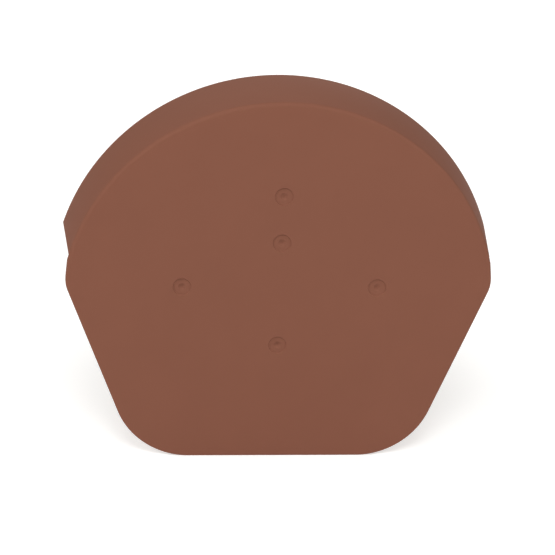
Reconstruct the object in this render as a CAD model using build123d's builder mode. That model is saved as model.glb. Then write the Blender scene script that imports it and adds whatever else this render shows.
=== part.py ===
from build123d import *

import os
from math import cos, radians, sqrt, tan

# End cap for a half round roof ridge, moulded in one piece.
#
# A flat front plate closes the end of the ridge, and its apron hangs below to cover the gable's peak.
# A flared rim runs back from the half round top and goes over the end of the ridge tile. Five shallow
# marks on the plate show where the fixing screws go in.
#
# Frame, in millimetres: the origin is on the ridge's axis, where the tile's end meets the back of the
# plate. +Y runs along the ridge, away from the cap's face, and +Z is up.

# The ridge tile that the cap closes
tile_radius = 125.0  # outside radius of the half round tile
tile_clearance = 1.0  # between the tile and the rim, at the plate

# Moulded walls
plate_thickness = 2.8
rim_thickness = 2.8
rim_flare = 7.2  # degrees, from the ridge's axis
front_corner_radius = 2.4  # where the plate turns into the rim
inner_corner_radius = 1.2  # the same corner, inside the hollow
lip_radius = 1.0  # along the rim's rear edge

# Rim, from the back of the plate
rim_depth = 38.2
rim_end_height = 35.3  # of the rim's ends above the ridge's axis, at the plate
rim_end_rise = 8.2  # degrees, slope of the rim's ends up to the rear

# Plate outline below the rim, to the sharp corners
shoulder_gap = 0.6  # from the soft corner under the rim's end down to where the half round ends
shoulder_drop = 16.2  # from there down to the shoulder's corner
shoulder_overhang = 1.5  # of that corner past the half round's end
shoulder_radius = 20.5
side_lean = 21.2  # degrees, of the sides from upright
foot_drop = 94.5  # from the ridge's axis down to the straight bottom edge
foot_radius = 46.5

# Screw marks: a shallow drafted recess with a starting point in its middle
mark_radius = 5.4
mark_depth = 0.7
mark_draft = 30.0  # degrees
point_radius = 2.2
point_depth = 1.4
centre_mark_heights = (72.0, 43.4, -21.4)
side_mark_offset = 57.7
side_mark_height = 15.6

# Worked out from the sizes above
flare = tan(radians(rim_flare))
rim_width = rim_thickness / cos(radians(rim_flare))  # across the wall, along the radius
inner_radius = tile_radius + tile_clearance
back_radius = inner_radius + rim_width
front_radius = back_radius - plate_thickness * flare
mouth_radius = inner_radius + rim_depth * flare
rear_radius = mouth_radius + rim_width
round_end_drop = inner_corner_radius + shoulder_gap  # below the rim's end
round_end_height = rim_end_height - round_end_drop
round_end_half_width = sqrt(back_radius**2 - round_end_height**2)
shoulder_height = round_end_height - shoulder_drop
shoulder_half_width = round_end_half_width + shoulder_overhang
beside_rim_half_width = round_end_half_width - round_end_drop * shoulder_overhang / shoulder_drop
foot_half_width = shoulder_half_width - (shoulder_height + foot_drop) * tan(radians(side_lean))
widest_lip_radius = 0.4 * rim_thickness  # leaves a flat between the rear edge's two roundings
clear = 2 * rear_radius  # reaches past every wall of the cap


# The shape that one screw mark takes out of the plate, with its mouth at the origin and its depth down -Z
with BuildPart() as screw_mark:
    with BuildSketch(Plane.XZ):
        with BuildLine():
            floor_radius = mark_radius - mark_depth * tan(radians(mark_draft))
            Polyline(
                (0, 0),
                (mark_radius, 0),
                (floor_radius, -mark_depth),
                (point_radius, -mark_depth),
                (0, -mark_depth - point_depth),
                close=True,
            )
        make_face()
    revolve(axis=Axis.Z)


with BuildPart() as ridge_cap:
    # Plate and flared rim as one round pan, turned about the ridge's axis: X is the radius
    with BuildSketch(Plane.XY) as wall:
        with BuildLine():
            Polyline(
                (0, -plate_thickness),
                (front_radius, -plate_thickness),
                (rear_radius, rim_depth),
                (mouth_radius, rim_depth),
                (inner_radius, 0),
                (0, 0),
                close=True,
            )
        make_face()
        front_corner = wall.vertices().group_by(Axis.Y)[0].sort_by(Axis.X)[-1]
        fillet(front_corner, front_corner_radius)
        lip_corners = wall.vertices().group_by(Axis.Y)[-1]
        fillet(lip_corners, min(lip_radius, widest_lip_radius))
    revolve(axis=Axis.Y)

    # Below its sloping ends the rim is left off, down to the back of the plate
    with BuildSketch(Plane.YZ):
        with BuildLine():
            Polyline(
                (0, rim_end_height),
                (clear, rim_end_height + clear * tan(radians(rim_end_rise))),
                (clear, -clear),
                (0, -clear),
                close=True,
            )
        make_face()
    extrude(amount=clear, both=True, mode=Mode.SUBTRACT)

    # Under the half round the plate is trimmed to its shoulders, leaning sides and round-cornered foot
    with BuildSketch(Plane.XZ.offset(plate_thickness)) as outline:
        with BuildLine():
            Polyline(
                (0, -foot_drop),
                (foot_half_width, -foot_drop),
                (shoulder_half_width, shoulder_height),
                (beside_rim_half_width, rim_end_height),
                (clear, rim_end_height),
                (clear, clear),
                (0, clear),
                close=True,
            )
        make_face()
        shoulder_corner = outline.vertices().group_by(Axis.Y)[1]
        fillet(shoulder_corner, shoulder_radius)
        foot_corner = outline.vertices().group_by(Axis.Y)[0].sort_by(Axis.X)[-1]
        fillet(foot_corner, foot_radius)
        mirror(about=Plane.YZ)
    extrude(amount=-clear, mode=Mode.INTERSECT)

    # Soft inside corners where the rim and its two ends stand on the back of the plate
    plate_back = ridge_cap.faces().filter_by(Plane.XZ).sort_by(Axis.Y)[1]
    rim_corner = plate_back.edges().sort_by(SortBy.LENGTH)[-1]
    rim_end_corners = plate_back.edges().filter_by(Axis.X).group_by(Axis.Z)[-1]
    fillet([rim_corner, *rim_end_corners], inner_corner_radius)

    # Screw marks on the front of the plate: three on the centre line, one each side
    front = Plane(origin=(0, -plate_thickness, 0), x_dir=(1, 0, 0), z_dir=(0, -1, 0))
    mark_places = [(0, height) for height in centre_mark_heights]
    mark_places += [(side * side_mark_offset, side_mark_height) for side in (-1, 1)]
    with Locations(front):
        with Locations(*mark_places):
            add(screw_mark.part, mode=Mode.SUBTRACT)

ridge_cap.part.label = "ridge_cap"

os.makedirs("parts", exist_ok=True)
export_step(ridge_cap.part, "parts/ridge_cap.step")
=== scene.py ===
"""Half round ridge end cap: its moulded shell with the screw marks, a plain studio and the camera."""
import logging
from dataclasses import dataclass, field
from enum import Enum
from math import asin, atan2, cos, pi, radians, sin, sqrt, tan

import bpy
from mathutils import Matrix, Vector
from mathutils.geometry import intersect_line_sphere_2d


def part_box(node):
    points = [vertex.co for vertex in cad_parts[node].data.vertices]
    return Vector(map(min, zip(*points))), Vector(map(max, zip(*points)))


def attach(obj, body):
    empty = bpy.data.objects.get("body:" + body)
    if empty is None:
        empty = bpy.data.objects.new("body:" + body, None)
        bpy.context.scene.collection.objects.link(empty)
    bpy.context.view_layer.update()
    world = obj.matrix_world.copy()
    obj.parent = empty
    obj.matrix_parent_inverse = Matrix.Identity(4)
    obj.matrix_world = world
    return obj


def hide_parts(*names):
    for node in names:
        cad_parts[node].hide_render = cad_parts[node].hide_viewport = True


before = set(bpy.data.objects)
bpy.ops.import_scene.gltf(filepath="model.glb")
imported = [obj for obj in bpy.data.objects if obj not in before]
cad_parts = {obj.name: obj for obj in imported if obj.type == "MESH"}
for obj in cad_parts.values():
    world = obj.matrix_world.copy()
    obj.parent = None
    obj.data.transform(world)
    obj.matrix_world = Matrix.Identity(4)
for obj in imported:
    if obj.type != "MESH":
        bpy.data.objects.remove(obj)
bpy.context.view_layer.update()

MM = 0.001  # lengths are given in millimetres and kept in metres
WELD = 0.004 * MM  # points nearer than this are one point
CLOUD_DETAIL = 3.0  # finer layers of noise in a surface's clouds
GRAIN_DETAIL = 2.0  # and in its grain
NOISE_ROUGHNESS = 0.55  # strength of each finer layer, as a share of the one before
CAP = "ridge_cap"

Socket = bpy.types.NodeSocket
Feed = Socket | float | str | tuple[float, ...]  # what an input of a node takes
Sizes = dict[str, float | int]  # sizes by the names of a tree's inputs

log = logging.getLogger("ridge_cap_scene")


class TreeKind(Enum):
    """What a node tree makes."""

    SHAPE = "GeometryNodeTree"
    FINISH = "ShaderNodeTree"


class SocketKind(Enum):
    """What a socket of a node tree carries."""

    NUMBER = "NodeSocketFloat"
    COUNT = "NodeSocketInt"
    PLACE = "NodeSocketVector"
    SHAPE = "NodeSocketGeometry"
    MATERIAL = "NodeSocketMaterial"

    @classmethod
    def of(cls, sizes: Sizes) -> dict[str, "SocketKind"]:
        """Gives the kind of socket for each size: a count for a whole number, or else a number."""
        return {label: cls.COUNT if isinstance(size, int) else cls.NUMBER for label, size in sizes.items()}


class NodeSheet:
    """Adds nodes to one tree and links them.

    Attributes:
        tree: the tree.
        given: the sockets of the tree's own inputs, by name.
    """

    def __init__(self, tree: bpy.types.NodeTree) -> None:
        """Starts on a tree."""
        self.tree = tree
        self.given: dict[str, Socket] = {}

    @classmethod
    def group(
        cls, name: str, kind: TreeKind, inputs: dict[str, SocketKind], outputs: dict[str, SocketKind]
    ) -> "NodeSheet":
        """Starts a new tree that has inputs and outputs of its own.

        Args:
            name: name of the tree.
            kind: what the tree makes.
            inputs: the kind of each input, by name.
            outputs: the kind of each output, by name.

        Returns:
            A sheet on the new tree, with its input sockets in given.
        """
        sheet = cls(bpy.data.node_groups.new(name, kind.value))
        for in_out, kinds in (("INPUT", inputs), ("OUTPUT", outputs)):
            for label, socket_kind in kinds.items():
                sheet.tree.interface.new_socket(name=label, in_out=in_out, socket_type=socket_kind.value)
        source = sheet.tree.nodes.new("NodeGroupInput")
        sheet.given = {label: source.outputs[label] for label in inputs}
        return sheet

    def deliver(self, results: dict[str, Socket]) -> bpy.types.NodeTree:
        """Links the tree's results to its outputs.

        Args:
            results: the socket that feeds each output, by name.

        Returns:
            The finished tree.
        """
        target = self.tree.nodes.new("NodeGroupOutput")
        for label, socket in results.items():
            self.tree.links.new(socket, target.inputs[label])
        return self.tree

    def add(
        self, kind: str, inputs: dict[str, Feed], **settings: str | bpy.types.NodeTree
    ) -> bpy.types.Node:
        """Adds one node.

        Args:
            kind: type of the node.
            inputs: a socket or a plain value for each input, by the input's identifier.
            settings: properties of the node, which are set before its inputs.

        Returns:
            The new node.
        """
        node = self.tree.nodes.new(kind)
        for label, value in settings.items():
            setattr(node, label, value)
        self.feed(node, inputs)
        return node

    def feed(self, node: bpy.types.Node, inputs: dict[str, Feed]) -> None:
        """Links or sets some inputs of a node.

        Args:
            node: the node.
            inputs: a socket or a plain value for each input, by the input's identifier.
        """
        by_identifier = {socket.identifier: socket for socket in node.inputs}
        for identifier, value in inputs.items():
            if isinstance(value, Socket):
                self.tree.links.new(value, by_identifier[identifier])
            else:
                by_identifier[identifier].default_value = value

    def call(self, tree: bpy.types.NodeTree, inputs: dict[str, Feed]) -> bpy.types.Node:
        """Places another tree in this one as a group node.

        Args:
            tree: the tree to place.
            inputs: a socket or a plain value for each of its inputs, by name.

        Returns:
            The group node.
        """
        kind = tree.bl_idname.replace("Tree", "Group")
        node = self.add(kind, {}, node_tree=tree)
        self.feed(node, {node.inputs[label].identifier: value for label, value in inputs.items()})
        return node

    @staticmethod
    def result(node: bpy.types.Node, identifier: str) -> Socket:
        """Finds one of a node's outputs by its identifier."""
        return next(socket for socket in node.outputs if socket.identifier == identifier)

    def math(self, operation: str, first: Feed, second: Feed = 0.0) -> Socket:
        """Works out one number from one or two others."""
        node = self.add("ShaderNodeMath", {"Value": first, "Value_001": second}, operation=operation)
        return node.outputs["Value"]

    def minus(self, number: Socket) -> Socket:
        """Changes the sign of a number."""
        return self.math("MULTIPLY", number, -1.0)

    def whole(self, operation: str, first: Socket, second: Feed) -> Socket:
        """Works out one whole number from two others."""
        inputs = {"Value": first, "Value_001": second}
        return self.add("FunctionNodeIntegerMath", inputs, operation=operation).outputs["Value"]

    def vector(self, operation: str, first: Socket, second: Feed) -> Socket:
        """Works out one vector from two others."""
        inputs = {"Vector": first, "Vector_001": second}
        return self.add("ShaderNodeVectorMath", inputs, operation=operation).outputs["Vector"]

    def scaled(self, vector: Socket, factor: Feed) -> Socket:
        """Makes a vector longer or shorter by a factor."""
        node = self.add("ShaderNodeVectorMath", {"Vector": vector, "Scale": factor}, operation="SCALE")
        return node.outputs["Vector"]

    def blended(self, first: Socket, second: Socket, share: Socket) -> Socket:
        """Goes from the first vector to the second as the share goes from 0 to 1."""
        inputs = {"Factor_Float": share, "A_Vector": first, "B_Vector": second}
        return self.result(self.add("ShaderNodeMix", inputs, data_type="VECTOR"), "Result_Vector")

    def joined(self, x: Feed = 0.0, y: Feed = 0.0, z: Feed = 0.0) -> Socket:
        """Makes a vector from three numbers."""
        return self.add("ShaderNodeCombineXYZ", {"X": x, "Y": y, "Z": z}).outputs["Vector"]

    def parts(self, vector: Socket) -> tuple[Socket, Socket, Socket]:
        """Takes a vector apart into its three numbers."""
        node = self.add("ShaderNodeSeparateXYZ", {"Vector": vector})
        return node.outputs["X"], node.outputs["Y"], node.outputs["Z"]

    def field(self, kind: str) -> Socket:
        """Reads a field of the surface, such as its position or its index."""
        return self.add(kind, {}).outputs[0]

    def attribute(self, name: str, data_type: str) -> Socket:
        """Reads a named attribute."""
        node = self.add("GeometryNodeInputNamedAttribute", {"Name": name}, data_type=data_type)
        return node.outputs["Attribute"]

    def seen_by_camera(self) -> Socket:
        """Gives 1 where the camera looks straight at a surface, and 0 where that surface lights another."""
        return self.add("ShaderNodeLightPath", {}).outputs["Is Camera Ray"]

    def choice(self, choices: list[Feed], data_type: str) -> Socket:
        """Gives each point the choice that has the point's index.

        Args:
            choices: a socket or a plain value for each point, in order.
            data_type: type of the choices.

        Returns:
            Each point's choice.
        """
        node = self.add("GeometryNodeIndexSwitch", {}, data_type=data_type)
        while len(node.index_switch_items) < len(choices):
            node.index_switch_items.new()
        self.feed(node, {f"Item_{number}": value for number, value in enumerate(choices)})
        self.feed(node, {"Index": self.field("GeometryNodeInputIndex")})
        return node.outputs["Output"]

    def point_count(self, shape: Socket, component: str) -> Socket:
        """Counts the points of a mesh or a curve."""
        node = self.add("GeometryNodeAttributeDomainSize", {"Geometry": shape}, component=component)
        return node.outputs["Point Count"]

    def sample(self, shape: Socket, value: Socket, index: Socket, data_type: str) -> Socket:
        """Reads a value at one point of another shape."""
        inputs = {"Geometry": shape, "Value": value, "Index": index}
        return self.add("GeometryNodeSampleIndex", inputs, data_type=data_type).outputs["Value"]

    def placed(self, shape: Socket, place: Socket) -> Socket:
        """Puts each point of a shape in a new place."""
        inputs = {"Geometry": shape, "Position": place}
        return self.add("GeometryNodeSetPosition", inputs).outputs["Geometry"]

    def lifted(self, shape: Socket, height: Socket) -> Socket:
        """Moves a shape along Z."""
        inputs = {"Geometry": shape, "Offset": self.joined(z=height)}
        return self.add("GeometryNodeSetPosition", inputs).outputs["Geometry"]

    def rounded_line(self, corners: list[tuple[Socket, Feed]], steps: Socket) -> Socket:
        """Draws a line through some corners and rounds them.

        Args:
            corners: place and rounding of the line's first end, of each corner and of the last end.
            steps: points along each rounding.

        Returns:
            The curve.
        """
        places = [place for place, _ in corners]
        radii = [radius for _, radius in corners]
        line = self.add("GeometryNodeMeshLine", {"Count": len(corners)}).outputs["Mesh"]
        bent = self.placed(line, self.choice(places, "VECTOR"))
        curve = self.add("GeometryNodeMeshToCurve", {"Mesh": bent}).outputs["Curve"]
        rounding = {"Curve": curve, "Count": steps, "Radius": self.choice(radii, "FLOAT")}
        return self.add("GeometryNodeFilletCurve", rounding, mode="POLY").outputs["Curve"]

    def ring_grid(self, rows: Socket, sides: Socket) -> tuple[Socket, Socket, Socket]:
        """Adds a grid to be closed to a ring, with one more column that will lie on the first.

        Args:
            rows: points in each column.
            sides: columns round the ring.

        Returns:
            The grid, and the column and the row that a point is in.
        """
        columns = self.whole("ADD", sides, 1)
        grid = self.add("GeometryNodeMeshGrid", {"Vertices X": columns, "Vertices Y": rows})
        index = self.field("GeometryNodeInputIndex")
        column = self.whole("DIVIDE_FLOOR", index, rows)
        row = self.whole("MODULO", index, rows)
        return grid.outputs["Mesh"], column, row

    def open_edges(self) -> Socket:
        """Finds the edges with only one face beside them."""
        inputs = {"A_INT": self.field("GeometryNodeInputMeshEdgeNeighbors"), "B_INT": 1}
        return self.add("FunctionNodeCompare", inputs, data_type="INT", operation="EQUAL").outputs["Result"]

    def welded(self, shape: Socket) -> Socket:
        """Merges the points of a shape that lie together."""
        inputs = {"Geometry": shape, "Distance": WELD}
        return self.add("GeometryNodeMergeByDistance", inputs).outputs["Geometry"]

    def realized(self, shape: Socket) -> Socket:
        """Makes the instances in a shape real."""
        return self.add("GeometryNodeRealizeInstances", {"Geometry": shape}).outputs["Geometry"]

    def together(self, shapes: list[Socket]) -> Socket:
        """Joins several shapes into one.

        Args:
            shapes: the shapes.

        Returns:
            All of them as one shape.
        """
        node = self.add("GeometryNodeJoinGeometry", {})
        for shape in shapes:
            self.tree.links.new(shape, node.inputs["Geometry"])
        return node.outputs["Geometry"]


def surface_clouds() -> bpy.types.NodeTree:
    """Builds the shader group that gives a surface its soft clouds and its fine grain.

    Returns:
        A tree with the outputs Clouds and Grain, both from 0 to 1.
    """
    number = SocketKind.NUMBER
    sheet = NodeSheet.group(
        "surface clouds",
        TreeKind.FINISH,
        inputs={"Place": SocketKind.PLACE, "Cloud size": number, "Grain size": number},
        outputs={"Clouds": number, "Grain": number},
    )

    def noise(size: Socket, detail: float) -> Socket:
        """Makes noise of one scale.

        Args:
            size: about how large its features are.
            detail: how many finer layers it has.

        Returns:
            The noise, from 0 to 1.
        """
        place = sheet.given["Place"]
        scale = sheet.math("DIVIDE", 1.0, size)
        inputs = {"Vector": place, "Scale": scale, "Detail": detail, "Roughness": NOISE_ROUGHNESS}
        return sheet.add("ShaderNodeTexNoise", inputs).outputs[0]

    clouds = noise(sheet.given["Cloud size"], CLOUD_DETAIL)
    grain = noise(sheet.given["Grain size"], GRAIN_DETAIL)
    return sheet.deliver({"Clouds": clouds, "Grain": grain})


@dataclass(frozen=True)
class MatteFinish:
    """A matte finish with soft clouds in its colour and a fine grain.

    Attributes:
        name: name of the material.
        dark: colour where the clouds are darkest.
        pale: colour where the clouds are palest.
        cloud_size: about how large the clouds are.
        grain_size: about how large the grains are.
        grain_depth: height of the grains.
        grain_strength: how much of that height shows, from 0 to 1.
        roughest: roughness on top of the grains.
        smoothest: roughness between the grains.
        gloss: level of the reflections.
        glow: light that the surface adds for the camera alone.
    """

    name: str
    dark: tuple[float, float, float]
    pale: tuple[float, float, float]
    cloud_size: float
    grain_size: float
    grain_depth: float
    grain_strength: float
    roughest: float
    smoothest: float
    gloss: float
    glow: float = 0.0

    def build(self, clouds: bpy.types.NodeTree) -> bpy.types.Material:
        """Builds the material.

        Args:
            clouds: the shader group of clouds and grain.

        Returns:
            The new material.
        """
        material = bpy.data.materials.new(self.name)
        material.use_nodes = True
        sheet = NodeSheet(material.node_tree)
        shader = material.node_tree.nodes["Principled BSDF"]
        place = sheet.add("ShaderNodeTexCoord", {}).outputs["Object"]
        sizes = {"Place": place, "Cloud size": self.cloud_size, "Grain size": self.grain_size}
        surface = sheet.call(clouds, sizes)
        grain = surface.outputs["Grain"]
        tones = {
            "Factor_Float": surface.outputs["Clouds"],
            "A_Color": (*self.dark, 1.0),
            "B_Color": (*self.pale, 1.0),
        }
        tone = sheet.add("ShaderNodeMix", tones, data_type="RGBA")
        polish = {"Value": grain, "To Min": self.smoothest, "To Max": self.roughest}
        relief = {"Height": grain, "Strength": self.grain_strength, "Distance": self.grain_depth}
        inputs = {
            "Base Color": sheet.result(tone, "Result_Color"),
            "Roughness": sheet.add("ShaderNodeMapRange", polish).outputs["Result"],
            "Normal": sheet.add("ShaderNodeBump", relief).outputs["Normal"],
            "Specular IOR Level": self.gloss,
        }
        if self.glow:
            inputs["Emission Color"] = (self.glow, self.glow, self.glow, 1.0)
            inputs["Emission Strength"] = sheet.seen_by_camera()
        sheet.feed(shader, inputs)
        return material


BROWN_PLASTIC = MatteFinish(
    name="brown_plastic",
    dark=(0.225, 0.0862, 0.054),
    pale=(0.2417, 0.0927, 0.058),
    cloud_size=38 * MM,
    grain_size=0.7 * MM,
    grain_depth=0.05 * MM,
    grain_strength=0.35,
    roughest=0.78,
    smoothest=0.66,
    gloss=0.183,
)

PALE_FLOOR = MatteFinish(
    name="pale_floor",
    dark=(0.86, 0.86, 0.86),
    pale=(0.9, 0.9, 0.9),
    cloud_size=900 * MM,
    grain_size=4 * MM,
    grain_depth=0.05 * MM,
    grain_strength=0.1,
    roughest=0.8,
    smoothest=0.7,
    gloss=0.1,
    glow=0.37,
)


@dataclass(frozen=True)
class Station:
    """One place on the cap's outline, seen from the front with X to the right and Y up.

    Attributes:
        place: where the outline is.
        outward: the way out of the plate, square to the outline.
        rim: 1 where the rim stands on the plate and 0 along the apron.
        soft: 1 where the front corner is well rounded and 0 where it is crisp.
        lean: how far the rim's end slope shifts the wall here, from 1 at the right end to -1 at the left.
    """

    place: Vector
    outward: Vector
    rim: float = 0.0
    soft: float = 0.0
    lean: float = 0.0

    def mirrored(self) -> "Station":
        """Gives the same station on the other side of the cap."""
        flip = Vector((-1, 1))
        return Station(self.place * flip, self.outward * flip, self.rim, self.soft, -self.lean)


def rounded_corner(
    before: Vector, corner: Vector, after: Vector, radius: float, steps: int
) -> list[tuple[Vector, Vector]]:
    """Rounds a corner of an outline that goes clockwise.

    Args:
        before: a place on the line that leads to the corner.
        corner: the sharp corner.
        after: a place on the line that leaves the corner.
        radius: radius of the rounding.
        steps: parts that the rounding is divided into.

    Returns:
        The places along the rounding, each with the way out of the outline.
    """
    arriving = (corner - before).normalized()
    leaving = (after - corner).normalized()
    first = atan2(arriving.x, -arriving.y)
    last = atan2(leaving.x, -leaving.y)
    turn = first - last
    start = corner - arriving * radius * tan(turn / 2)
    centre = start - Vector((cos(first), sin(first))) * radius
    arc = []
    for step in range(steps + 1):
        angle = first - turn * step / steps
        outward = Vector((cos(angle), sin(angle)))
        arc.append((centre + outward * radius, outward))
    return arc


@dataclass
class ScrewMark:
    """A shallow drafted recess with a starting point in its middle."""

    radius: float = 5.4 * MM
    depth: float = 0.7 * MM
    draft: float = radians(30)
    point_radius: float = 2.2 * MM
    point_depth: float = 1.4 * MM
    border: float = 0.6 * MM  # flat ring round the mouth
    edge_rounding: float = 0.22 * MM
    rounding_steps: int = 4
    sides: int = 64

    def sizes(self) -> Sizes:
        """Gives the sizes that the mark's tree takes.

        Returns:
            The sizes, by the names of the tree's inputs.
        """
        return {
            "Border radius": self.radius + self.border,
            "Mouth radius": self.radius,
            "Floor radius": self.radius - self.depth * tan(self.draft),
            "Point radius": self.point_radius,
            "Floor depth": self.depth,
            "Tip depth": self.depth + self.point_depth,
            "Edge rounding": self.edge_rounding,
            "Rounding steps": self.rounding_steps,
            "Sides": self.sides,
        }

    def tree(self) -> bpy.types.NodeTree:
        """Builds the tree that turns the mark's section about the mark's axis.

        Returns:
            A tree with one output, the open dish with its mouth in the XY plane.
        """
        sheet = NodeSheet.group(
            "screw mark",
            TreeKind.SHAPE,
            inputs=SocketKind.of(self.sizes()),
            outputs={"Dish": SocketKind.SHAPE},
        )
        given = sheet.given
        edge = given["Edge rounding"]
        corners = [
            (sheet.joined(given["Border radius"]), 0.0),
            (sheet.joined(given["Mouth radius"]), edge),
            (sheet.joined(given["Floor radius"], given["Floor depth"]), edge),
            (sheet.joined(given["Point radius"], given["Floor depth"]), edge),
            (sheet.joined(0.0, given["Tip depth"]), 0.0),
        ]
        section = sheet.rounded_line(corners, given["Rounding steps"])
        grid, column, row = sheet.ring_grid(sheet.point_count(section, "CURVE"), given["Sides"])
        position = sheet.field("GeometryNodeInputPosition")
        radius, depth, _ = sheet.parts(sheet.sample(section, position, row, "FLOAT_VECTOR"))
        angle = sheet.math("MULTIPLY", sheet.math("DIVIDE", column, given["Sides"]), 2 * pi)
        across = sheet.math("MULTIPLY", radius, sheet.math("COSINE", angle))
        upward = sheet.math("MULTIPLY", radius, sheet.math("SINE", angle))
        turned = sheet.placed(grid, sheet.joined(across, upward, sheet.minus(depth)))
        return sheet.deliver({"Dish": sheet.welded(turned)})


class PlateSide(Enum):
    """One side of the plate, by how a place there compares with the middle of the plate's thickness."""

    FRONT = "GREATER_THAN"
    BACK = "LESS_THAN"


@dataclass
class RidgeCap:
    """The moulded cap: plate, apron and flared rim in one shell, with its screw marks.

    While it is built it lies on its back: X is to the right, Y up the plate and Z out of the plate's front,
    with the ridge's axis along Z and the plate's back at zero. The last step stands it up.
    """

    plate_thickness: float
    rim_depth: float  # behind the plate's back
    foot_drop: float  # from the ridge's axis down to the foot
    tile_radius: float = 125.0 * MM
    tile_clearance: float = 1.0 * MM
    rim_thickness: float = 2.8 * MM
    rim_flare: float = radians(7.2)
    front_corner: float = 2.4 * MM  # rounding where the plate turns into the rim
    crisp_corner: float = 0.45 * MM  # rounding along the apron
    inner_corner: float = 1.2 * MM  # rounding inside the hollow
    lip_corner: float = 1.0 * MM  # rounding along the rim's rear edge
    rim_end_height: float = 35.3 * MM  # above the ridge's axis, at the plate
    rim_end_rise: float = radians(8.2)  # slope of the rim's ends up to the rear
    shoulder_gap: float = 0.6 * MM  # from the inner corner under the rim's end to the half round's end
    shoulder_drop: float = 16.2 * MM  # from there down to the shoulder's corner
    shoulder_overhang: float = 1.5 * MM  # of that corner past the half round's end
    shoulder_radius: float = 20.5 * MM
    side_lean: float = radians(21.2)  # of the apron's sides from upright
    foot_radius: float = 46.5 * MM
    centre_mark_heights: tuple[float, ...] = (72.0 * MM, 43.4 * MM, -21.4 * MM)
    side_mark_offset: float = 57.7 * MM
    side_mark_height: float = 15.6 * MM
    mark: ScrewMark = field(default_factory=ScrewMark)
    front_border: float = 3.0 * MM  # flat ring inside the front corner
    back_border: float = 5.0 * MM  # flat ring inside the rim, behind the plate
    corner_steps: int = 8
    round_steps: int = 180
    under_rim_steps: int = 3  # from the rim's end down to the end of the half round
    fade_steps: int = 5  # from there down to the shoulder
    shoulder_steps: int = 10
    foot_steps: int = 40
    sharp_angle: float = radians(40)  # edges that turn by more are shaded as sharp

    def __post_init__(self) -> None:
        """Works out the radii that follow from the sizes."""
        self.flare = tan(self.rim_flare)
        self.wall_width = self.rim_thickness / cos(self.rim_flare)
        self.back_radius = self.tile_radius + self.tile_clearance + self.wall_width
        self.front_radius = self.back_radius - self.plate_thickness * self.flare
        self.rim_end_angle = asin(self.rim_end_height / self.back_radius)

    def section_sizes(self) -> Sizes:
        """Gives the sizes that every section of the wall shares.

        Returns:
            The sizes, by the names of the section tree's inputs.
        """
        return {
            "Plate thickness": self.plate_thickness,
            "Rim depth": self.rim_depth,
            "Wall width": self.wall_width,
            "Flare": self.flare,
            "Inner corner": self.inner_corner,
            "Lip corner": self.lip_corner,
            "Front border": self.front_border,
            "Back border": self.back_border,
            "Corner steps": self.corner_steps,
        }

    def sizes(self) -> Sizes:
        """Gives the sizes that the cap's tree takes.

        Returns:
            The sizes, by the names of the tree's inputs.
        """
        return {
            **self.section_sizes(),
            **self.mark.sizes(),
            "Front corner": self.front_corner,
            "Crisp corner": self.crisp_corner,
            "Back radius": self.back_radius,
            "Rim end height": self.rim_end_height,
            "Rim end slope": tan(self.rim_end_rise),
            "Rim end angle": self.rim_end_angle,
            "Sharp angle": self.sharp_angle,
        }

    def half_round_station(self, angle: float, rim: float, lean: float) -> Station:
        """Gives the station at an angle about the ridge's axis."""
        outward = Vector((cos(angle), sin(angle)))
        return Station(outward * self.front_radius, outward, rim, soft=1.0, lean=lean)

    def round_stations(self) -> list[Station]:
        """Gives the stations of the half round.

        Returns:
            The stations, from the rim's right end over the crown to its left end.
        """
        stations = []
        for step in range(self.round_steps + 1):
            share = step / self.round_steps
            angle = self.rim_end_angle + share * (pi - 2 * self.rim_end_angle)
            stations.append(self.half_round_station(angle, rim=1.0, lean=1.0 - 2.0 * share))
        return stations

    def apron_stations(self) -> list[Station]:
        """Gives the stations down the right edge of the apron.

        Returns:
            The stations, from the rim's end over the shoulder to the foot.
        """
        back_height = self.rim_end_height - self.inner_corner - self.shoulder_gap
        back_end = Vector((sqrt(self.back_radius**2 - back_height**2), back_height))
        shoulder = back_end + Vector((self.shoulder_overhang, -self.shoulder_drop))
        crossings = intersect_line_sphere_2d(back_end, shoulder, Vector((0, 0)), self.front_radius)
        round_end = next(crossing for crossing in crossings if crossing is not None)
        end_angle = atan2(round_end.y, round_end.x)
        fall = shoulder.y + self.foot_drop
        foot = Vector((shoulder.x - fall * tan(self.side_lean), -self.foot_drop))
        shoulder_arc = rounded_corner(round_end, shoulder, foot, self.shoulder_radius, self.shoulder_steps)
        foot_arc = rounded_corner(shoulder, foot, Vector((0, foot.y)), self.foot_radius, self.foot_steps)

        stations = []
        for step in range(self.under_rim_steps):
            angle = self.rim_end_angle + step / self.under_rim_steps * (end_angle - self.rim_end_angle)
            stations.append(self.half_round_station(angle, rim=0.0, lean=0.0))
        top, sideways = shoulder_arc[0]
        for step in range(self.fade_steps):
            share = step / self.fade_steps
            stations.append(Station(round_end.lerp(top, share), sideways, soft=(1.0 - share) ** 2))
        stations += [Station(place, outward) for place, outward in shoulder_arc + foot_arc]
        return stations

    def mark_places(self) -> list[Vector]:
        """Gives the middles of the screw marks.

        Returns:
            The places on the centre line, and then one each side.
        """
        central = [Vector((0, height)) for height in self.centre_mark_heights]
        lateral = [Vector((side * self.side_mark_offset, self.side_mark_height)) for side in (-1, 1)]
        return central + lateral

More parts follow.
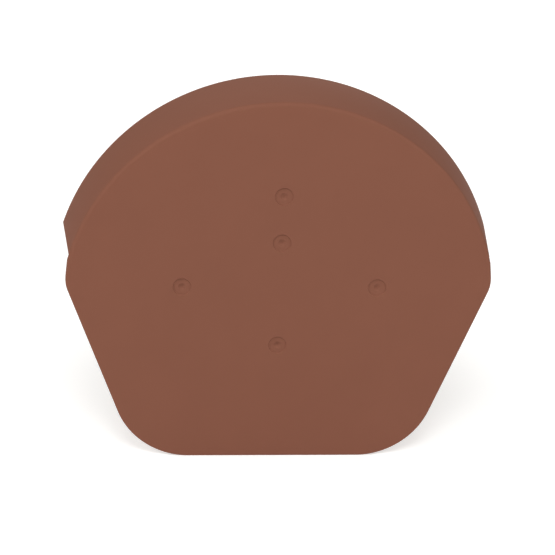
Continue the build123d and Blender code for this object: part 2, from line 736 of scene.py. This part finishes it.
    def plan(self) -> bpy.types.Object:
        """Lays out the outline's stations and the marks' places as points with attributes.

        Returns:
            An object whose mesh is those points, flat in the XY plane.
        """
        apron = self.apron_stations()
        stations = self.round_stations() + [station.mirrored() for station in apron] + apron[::-1]
        marks = self.mark_places()
        places = [station.place for station in stations] + marks
        mesh = bpy.data.meshes.new("ridge_cap_plan")
        mesh.from_pydata([(*place, 0) for place in places], [], [])
        columns = {
            "rim": [station.rim for station in stations],
            "soft": [station.soft for station in stations],
            "lean": [station.lean for station in stations],
            "mark": [0.0 for _ in stations] + [1.0 for _ in marks],
        }
        for name, values in columns.items():
            attribute = mesh.attributes.new(name, "FLOAT", "POINT")
            for item, value in zip(attribute.data, values):
                item.value = value
        outward = mesh.attributes.new("outward", "FLOAT_VECTOR", "POINT")
        for item, station in zip(outward.data, stations):
            item.vector = (*station.outward, 0)
        shell = bpy.data.objects.new("ridge_cap_shell", mesh)
        bpy.context.scene.collection.objects.link(shell)
        return shell

    def section_tree(self) -> bpy.types.NodeTree:
        """Builds the tree that draws the section through plate, rim and lip.

        Its X is the distance out from the plate's front edge, and its Y the depth behind the plate's back.

        Returns:
            A tree with one output, the section as a curve.
        """
        sheet = NodeSheet.group(
            "wall section",
            TreeKind.SHAPE,
            inputs={**SocketKind.of(self.section_sizes()), "Front corner": SocketKind.NUMBER},
            outputs={"Section": SocketKind.SHAPE},
        )
        given = sheet.given
        thickness, depth, width = given["Plate thickness"], given["Rim depth"], given["Wall width"]
        front = sheet.minus(thickness)
        lip = sheet.math("MULTIPLY", sheet.math("ADD", thickness, depth), given["Flare"])
        mouth = sheet.math("SUBTRACT", lip, width)
        hollow = sheet.math("SUBTRACT", sheet.math("MULTIPLY", thickness, given["Flare"]), width)
        corners = [
            (sheet.joined(sheet.minus(given["Back border"])), 0.0),
            (sheet.joined(hollow), given["Inner corner"]),
            (sheet.joined(mouth, depth), given["Lip corner"]),
            (sheet.joined(lip, depth), given["Lip corner"]),
            (sheet.joined(0.0, front), given["Front corner"]),
            (sheet.joined(sheet.minus(given["Front border"]), front), 0.0),
        ]
        return sheet.deliver({"Section": sheet.rounded_line(corners, given["Corner steps"])})

    def cap_tree(self) -> bpy.types.NodeTree:
        """Builds the tree that carries the wall's section round the outline and closes the plate.

        Returns:
            A tree that turns the plan's points into the finished shell.
        """
        sheet = NodeSheet.group(
            "ridge cap",
            TreeKind.SHAPE,
            inputs={
                "Plan": SocketKind.SHAPE,
                **SocketKind.of(self.sizes()),
                "Material": SocketKind.MATERIAL,
            },
            outputs={"Shell": SocketKind.SHAPE},
        )
        given = sheet.given
        parting = {"Geometry": given["Plan"], "Selection": sheet.attribute("mark", "FLOAT")}
        plan = sheet.add("GeometryNodeSeparateGeometry", parting)
        wall = self.swept_wall(sheet, plan.outputs["Inverted"])
        dishes = self.placed_dishes(sheet, plan.outputs["Selection"])
        front = self.plate_face(sheet, [wall, dishes], PlateSide.FRONT)
        back = self.plate_face(sheet, [wall], PlateSide.BACK)
        shell = sheet.welded(sheet.together([wall, dishes, front, back]))

        lying = {"Geometry": self.shaded(sheet, shell), "Rotation": (pi / 2, 0, 0)}
        stood = sheet.add("GeometryNodeTransform", lying).outputs["Geometry"]
        finish = {"Geometry": sheet.realized(stood), "Material": given["Material"]}
        return sheet.deliver({"Shell": sheet.add("GeometryNodeSetMaterial", finish).outputs["Geometry"]})

    def swept_wall(self, sheet: NodeSheet, outline: Socket) -> Socket:
        """Adds the nodes that carry the wall's section round the outline.

        Along the apron the section is cut off square at the plate's edge. At the rim's ends it is turned
        about the ridge's axis, so that the ends slope up to the rear.

        Args:
            sheet: the cap's tree.
            outline: the outline's stations.

        Returns:
            The wall, open at the plate's front and back.
        """
        given = sheet.given
        section_tree = self.section_tree()
        sizes = {label: given[label] for label in self.section_sizes()}
        crisp, soft = [
            sheet.call(section_tree, {**sizes, "Front corner": given[corner]}).outputs["Section"]
            for corner in ("Crisp corner", "Front corner")
        ]
        stations = sheet.point_count(outline, "MESH")
        grid, column, row = sheet.ring_grid(sheet.point_count(soft, "CURVE"), stations)
        station = sheet.whole("MODULO", column, stations)
        position = sheet.field("GeometryNodeInputPosition")

        def at_station(name: str) -> Socket:
            """Reads a number that belongs to the station."""
            return sheet.sample(outline, sheet.attribute(name, "FLOAT"), station, "FLOAT")

        place = sheet.sample(outline, position, station, "FLOAT_VECTOR")
        way_out = sheet.attribute("outward", "FLOAT_VECTOR")
        outward = sheet.sample(outline, way_out, station, "FLOAT_VECTOR")
        crisp_place = sheet.sample(crisp, position, row, "FLOAT_VECTOR")
        soft_place = sheet.sample(soft, position, row, "FLOAT_VECTOR")
        whole_wall = sheet.blended(crisp_place, soft_place, at_station("soft"))
        plate_only = sheet.vector("MINIMUM", whole_wall, (0.0, 0.0, 0.0))
        out, depth, _ = sheet.parts(sheet.blended(plate_only, whole_wall, at_station("rim")))

        edge = sheet.vector("ADD", place, sheet.scaled(outward, out))
        turn = sheet.math("MULTIPLY", self.rim_end_turn(sheet, depth), at_station("lean"))
        about_axis = {"Vector": edge, "Angle": turn}
        leaning = sheet.add("ShaderNodeVectorRotate", about_axis, rotation_type="Z_AXIS").outputs["Vector"]
        sunk = sheet.joined(z=sheet.minus(depth))
        return sheet.welded(sheet.placed(grid, sheet.vector("ADD", leaning, sunk)))

    def rim_end_turn(self, sheet: NodeSheet, depth: Socket) -> Socket:
        """Adds the nodes that work out how far the rim's ends have sloped up at some depth.

        Args:
            sheet: the cap's tree.
            depth: depth behind the plate's back.

        Returns:
            The angle about the ridge's axis from the rim's end at the plate, zero within the plate.
        """
        given = sheet.given
        behind = sheet.math("MAXIMUM", depth, 0.0)
        rise = sheet.math("MULTIPLY", behind, given["Rim end slope"])
        growth = sheet.math("MULTIPLY", behind, given["Flare"])
        height = sheet.math("ADD", given["Rim end height"], rise)
        radius = sheet.math("ADD", given["Back radius"], growth)
        end_angle = sheet.math("ARCSINE", sheet.math("DIVIDE", height, radius))
        return sheet.math("SUBTRACT", end_angle, given["Rim end angle"])

    def placed_dishes(self, sheet: NodeSheet, marks: Socket) -> Socket:
        """Adds the nodes that set a screw mark's dish at each of its places on the plate's front.

        Args:
            sheet: the cap's tree.
            marks: the middles of the marks.

        Returns:
            The dishes, open at their mouths.
        """
        given = sheet.given
        sizes = {label: given[label] for label in self.mark.sizes()}
        dish = sheet.call(self.mark.tree(), sizes).outputs["Dish"]
        raised = sheet.lifted(marks, given["Plate thickness"])
        copies = sheet.add("GeometryNodeInstanceOnPoints", {"Points": raised, "Instance": dish})
        return sheet.realized(copies.outputs["Instances"])

    def plate_face(self, sheet: NodeSheet, shapes: list[Socket], side: PlateSide) -> Socket:
        """Adds the nodes that fill the plate's flat front or back.

        Args:
            sheet: the cap's tree.
            shapes: the shapes whose open edges bound the face.
            side: which side of the plate it is.

        Returns:
            The flat face.
        """
        thickness = sheet.given["Plate thickness"]
        _, _, height = sheet.parts(sheet.field("GeometryNodeInputPosition"))
        on_side = sheet.math(side.value, height, sheet.math("MULTIPLY", thickness, 0.5))
        bounds = sheet.math("MULTIPLY", sheet.open_edges(), on_side)
        rings = [
            sheet.add("GeometryNodeMeshToCurve", {"Mesh": shape, "Selection": bounds}).outputs["Curve"]
            for shape in shapes
        ]
        filling = sheet.add("GeometryNodeFillCurve", {"Curve": sheet.together(rings)}, mode="TRIANGLES")
        face = filling.outputs["Mesh"]
        if side is PlateSide.FRONT:
            return sheet.lifted(face, thickness)
        return sheet.add("GeometryNodeFlipFaces", {"Mesh": face}).outputs["Mesh"]

    def shaded(self, sheet: NodeSheet, shell: Socket) -> Socket:
        """Adds the nodes that shade the shell smooth, apart from its sharp edges.

        Args:
            sheet: the cap's tree.
            shell: the closed shell.

        Returns:
            The same shell, shaded.
        """
        smooth = sheet.add("GeometryNodeSetShadeSmooth", {"Geometry": shell, "Shade Smooth": True})
        angle = sheet.field("GeometryNodeInputMeshEdgeAngle")
        sharp = sheet.math("GREATER_THAN", angle, sheet.given["Sharp angle"])
        edges = {"Geometry": smooth.outputs["Geometry"], "Selection": sharp, "Shade Smooth": False}
        return sheet.add("GeometryNodeSetShadeSmooth", edges, domain="EDGE").outputs["Geometry"]

    def build(self, material: bpy.types.Material) -> bpy.types.Object:
        """Builds the shell as a plain mesh.

        Args:
            material: the cap's finish.

        Returns:
            The finished object.
        """
        shell = self.plan()
        tree = self.cap_tree()
        modifier = shell.modifiers.new("ridge cap", "NODES")
        modifier.node_group = tree
        values = {**self.sizes(), "Material": material}
        for item in tree.interface.items_tree:
            if item.name in values:
                modifier[item.identifier] = values[item.name]
        depsgraph = bpy.context.evaluated_depsgraph_get()
        mesh = bpy.data.meshes.new_from_object(shell.evaluated_get(depsgraph), depsgraph=depsgraph)
        shell.modifiers.remove(modifier)
        mesh.materials.clear()
        mesh.materials.append(material)
        shell.data = mesh
        return shell

    def dress(self, shell: bpy.types.Object) -> None:
        """Puts the shell in the place of the plain cap, on the same body and material slot.

        Args:
            shell: the finished shell.
        """
        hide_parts(CAP)
        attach(shell, "root")


@dataclass(frozen=True)
class SoftBox:
    """A large soft lamp that faces the cap.

    Attributes:
        name: name of the lamp.
        place: where it stands, in metres.
        size: diameter of its disc, in metres.
        power: its power, in watts.
    """

    name: str
    place: tuple[float, float, float]
    size: float
    power: float

    def build(self) -> bpy.types.Object:
        """Builds the lamp.

        Returns:
            The lamp's object.
        """
        lamp = bpy.data.lights.new(self.name, "AREA")
        lamp.shape = "DISK"
        lamp.size = self.size
        lamp.energy = self.power
        holder = bpy.data.objects.new(self.name, lamp)
        holder.location = self.place
        holder.rotation_euler = Vector(self.place).to_track_quat("Z", "Y").to_euler()
        bpy.context.scene.collection.objects.link(holder)
        return holder


STUDIO_LAMPS = (
    SoftBox("key_lamp", place=(-0.2, -2.1, 2.5), size=1.2, power=39.5),
    SoftBox("left_lamp", place=(-2.1, -1.1, 1.6), size=1.6, power=25.2),
    SoftBox("right_lamp", place=(2.2, -1.3, 1.3), size=1.6, power=16.6),
    SoftBox("rear_lamp", place=(0.0, 2.4, 1.2), size=2.0, power=10.5),
    SoftBox("low_rear_lamp", place=(0.4, 2.5, 0.25), size=0.5, power=15.0),
)


@dataclass
class Studio:
    """A plain pale floor, soft lamps and an even, slightly warm surround.

    Attributes:
        floor_height: height of the cap's foot, in metres.
        floor_radius: radius of the floor, in metres.
        floor_sides: straight edges round the floor.
        lamps: the lamps round the cap.
        surround_strength: how strongly the surround lights the cap, where the camera sees it at 1.
        surround_tint: colour of the surround.
    """

    floor_height: float
    floor_radius: float = 6.0
    floor_sides: int = 96
    lamps: tuple[SoftBox, ...] = STUDIO_LAMPS
    surround_strength: float = 0.324
    surround_tint: tuple[float, float, float] = (1.0, 0.99, 0.92)

    def build(self, floor_finish: bpy.types.Material) -> list[bpy.types.Object]:
        """Builds the floor, the lamps and the surround.

        Args:
            floor_finish: material of the floor.

        Returns:
            The floor and the lamps.
        """
        pieces = [self.floor(floor_finish), *[lamp.build() for lamp in self.lamps]]
        self.light_surround()
        return pieces

    def floor(self, finish: bpy.types.Material) -> bpy.types.Object:
        """Builds the floor as a large round sheet.

        Args:
            finish: material of the floor.

        Returns:
            The floor's object.
        """
        angles = [2 * pi * side / self.floor_sides for side in range(self.floor_sides)]
        radius, height = self.floor_radius, self.floor_height
        corners = [(radius * cos(angle), radius * sin(angle), height) for angle in angles]
        mesh = bpy.data.meshes.new("floor")
        mesh.from_pydata(corners, [], [list(range(self.floor_sides))])
        mesh.materials.append(finish)
        sheet = bpy.data.objects.new("floor", mesh)
        bpy.context.scene.collection.objects.link(sheet)
        return sheet

    def light_surround(self) -> None:
        """Lights the surround evenly, lets the camera see it pale and shows colours as they are."""
        world = bpy.data.worlds.new("surround")
        world.use_nodes = True
        sheet = NodeSheet(world.node_tree)
        background = world.node_tree.nodes["Background"]
        strength = sheet.math("MAXIMUM", sheet.seen_by_camera(), self.surround_strength)
        sheet.feed(background, {"Color": (*self.surround_tint, 1.0), "Strength": strength})
        bpy.context.scene.world = world
        bpy.context.scene.view_settings.view_transform = "Standard"


@dataclass
class FrontCamera:
    """A long lens that looks down on the cap's face from a little to its left."""

    aim: tuple[float, float, float] = (0.0, -2.8 * MM, 22.58 * MM)
    azimuth: float = radians(6.22)
    elevation: float = radians(21.77)
    roll: float = radians(2.64)
    distance: float = 1172.6 * MM
    lens: float = 129.73  # focal length in millimetres
    across: float = -1.79 * MM  # these two move the camera along the image's own axes
    upward: float = -0.55 * MM

    def build(self) -> bpy.types.Object:
        """Builds the camera and makes it the scene's own.

        Returns:
            The camera's object.
        """
        level = cos(self.elevation)
        back = Vector((-sin(self.azimuth) * level, -cos(self.azimuth) * level, sin(self.elevation)))
        right = Vector((0, 0, 1)).cross(back).normalized()
        up = back.cross(right)
        turned_right = cos(self.roll) * right + sin(self.roll) * up
        turned_up = cos(self.roll) * up - sin(self.roll) * right
        eye = Vector(self.aim) + back * self.distance
        eye += turned_right * self.across
        eye += turned_up * self.upward
        lens = bpy.data.cameras.new("front_camera")
        lens.lens = self.lens
        camera = bpy.data.objects.new("front_camera", lens)
        axes = Matrix((turned_right, turned_up, back)).transposed()
        camera.matrix_world = Matrix.Translation(eye) @ axes.to_4x4()
        bpy.context.scene.collection.objects.link(camera)
        bpy.context.scene.camera = camera
        return camera


def main() -> None:
    """Builds the cap, the studio and the camera, and reports each piece."""
    logging.basicConfig(level=logging.INFO, format="%(message)s")
    lowest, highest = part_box(CAP)
    clouds = surface_clouds()

    cap = RidgeCap(plate_thickness=-lowest.y, rim_depth=highest.y, foot_drop=-lowest.z)
    shell = cap.build(BROWN_PLASTIC.build(clouds))
    cap.dress(shell)
    log.info("%s: %d faces", shell.name, len(shell.data.polygons))

    studio = Studio(floor_height=lowest.z)
    for piece in studio.build(PALE_FLOOR.build(clouds)):
        log.info("%s placed", piece.name)
    log.info("%s placed", FrontCamera().build().name)


if __name__ == "__main__":
    main()
